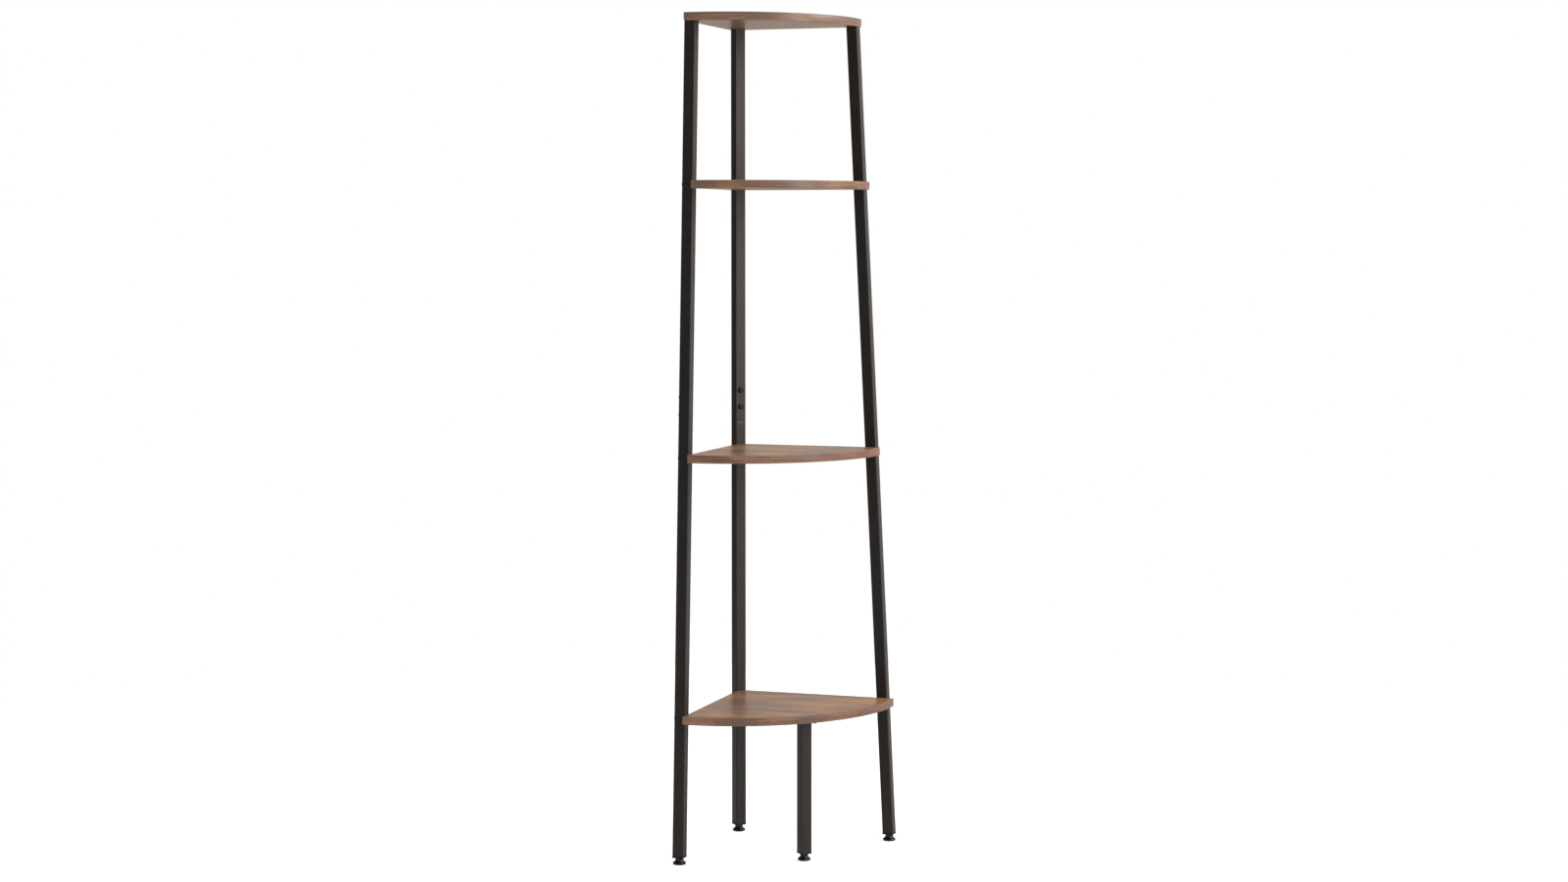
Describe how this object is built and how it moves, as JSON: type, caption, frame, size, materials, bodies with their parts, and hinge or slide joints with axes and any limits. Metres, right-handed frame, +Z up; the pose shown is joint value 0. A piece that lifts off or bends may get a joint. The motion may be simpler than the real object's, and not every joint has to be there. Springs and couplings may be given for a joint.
{
  "type": "corner shelf unit",
  "caption": "Tall corner shelf unit: quarter-round woodgrain boards on a black square-tube frame whose side legs lean outwards, with levelling feet.",
  "frame": {"origin": "on the floor, under the middle of the unit's box", "axes": "+Z up; the right-hand wall runs along +X at the back, the left-hand wall along -Y at the left, and the open front looks towards +X -Y"},
  "size_m": [0.3348, 0.3348, 1.55],
  "materials": {
    "woodgrain": "rustic brown woodgrain melamine, satin",
    "powder_coat": "black powder coat, fine texture, satin",
    "black_screw": "black oxide steel, satin",
    "zinc": "zinc plated steel",
    "nylon": "moulded black nylon, matt",
    "foot_plastic": "moulded black plastic, glossy"
  },
  "bodies": {
    "frame": {"top_board": "woodgrain", "upper_shelf": "woodgrain", "middle_shelf": "woodgrain", "bottom_shelf": "woodgrain", "left_leg_upper_tube": "powder_coat", "left_leg_lower_tube": "powder_coat", "left_leg_joint_sleeve": "zinc", "left_leg_joint_screw_upper": "black_screw", "left_leg_joint_screw_lower": "black_screw", "left_leg_top_plug": "nylon", "top_board_bolt_left": "black_screw", "right_leg_upper_tube": "powder_coat", "right_leg_lower_tube": "powder_coat", "right_leg_joint_sleeve": "zinc", "right_leg_joint_screw_upper": "black_screw", "right_leg_joint_screw_lower": "black_screw", "right_leg_top_plug": "nylon", "top_board_bolt_right": "black_screw", "rear_leg_upper_tube": "powder_coat", "rear_leg_lower_tube": "powder_coat", "rear_leg_joint_sleeve": "zinc", "rear_leg_joint_screw_upper": "black_screw", "rear_leg_joint_screw_lower": "black_screw", "rear_leg_top_plug": "nylon", "top_board_bolt_rear": "black_screw", "front_leg_tube": "powder_coat", "front_leg_plate_screw_1": "black_screw", "front_leg_plate_screw_2": "black_screw", "front_leg_plate_screw_3": "black_screw", "front_leg_plate_screw_4": "black_screw", "left_foot_plug": "nylon", "right_foot_plug": "nylon", "rear_foot_plug": "nylon", "front_foot_plug": "nylon", "upper_shelf_bolt_left": "black_screw", "upper_shelf_insert_left": "zinc", "upper_shelf_bolt_right": "black_screw", "upper_shelf_insert_right": "zinc", "upper_shelf_bolt_rear": "black_screw", "upper_shelf_insert_rear": "zinc", "middle_shelf_bolt_left": "black_screw", "middle_shelf_insert_left": "zinc", "middle_shelf_bolt_right": "black_screw", "middle_shelf_insert_right": "zinc", "middle_shelf_bolt_rear": "black_screw", "middle_shelf_insert_rear": "zinc", "bottom_shelf_bolt_left": "black_screw", "bottom_shelf_insert_left": "zinc", "bottom_shelf_bolt_right": "black_screw", "bottom_shelf_insert_right": "zinc", "bottom_shelf_bolt_rear": "black_screw", "bottom_shelf_insert_rear": "zinc"},
    "left_foot": {"left_foot_stud": "zinc", "left_foot_base": "foot_plastic"},
    "right_foot": {"right_foot_stud": "zinc", "right_foot_base": "foot_plastic"},
    "rear_foot": {"rear_foot_stud": "zinc", "rear_foot_base": "foot_plastic"},
    "front_foot": {"front_foot_stud": "zinc", "front_foot_base": "foot_plastic"}
  },
  "joints": [
    {"name": "left_foot_height", "type": "slide", "parent": "frame", "child": "left_foot", "axis": [0, 0, -1], "range_m": [0, 0.012]},
    {"name": "right_foot_height", "type": "slide", "parent": "frame", "child": "right_foot", "axis": [0, 0, -1], "range_m": [0, 0.012]},
    {"name": "rear_foot_height", "type": "slide", "parent": "frame", "child": "rear_foot", "axis": [0, 0, -1], "range_m": [0, 0.012]},
    {"name": "front_foot_height", "type": "slide", "parent": "frame", "child": "front_foot", "axis": [0, 0, -1], "range_m": [0, 0.012]}
  ]
}
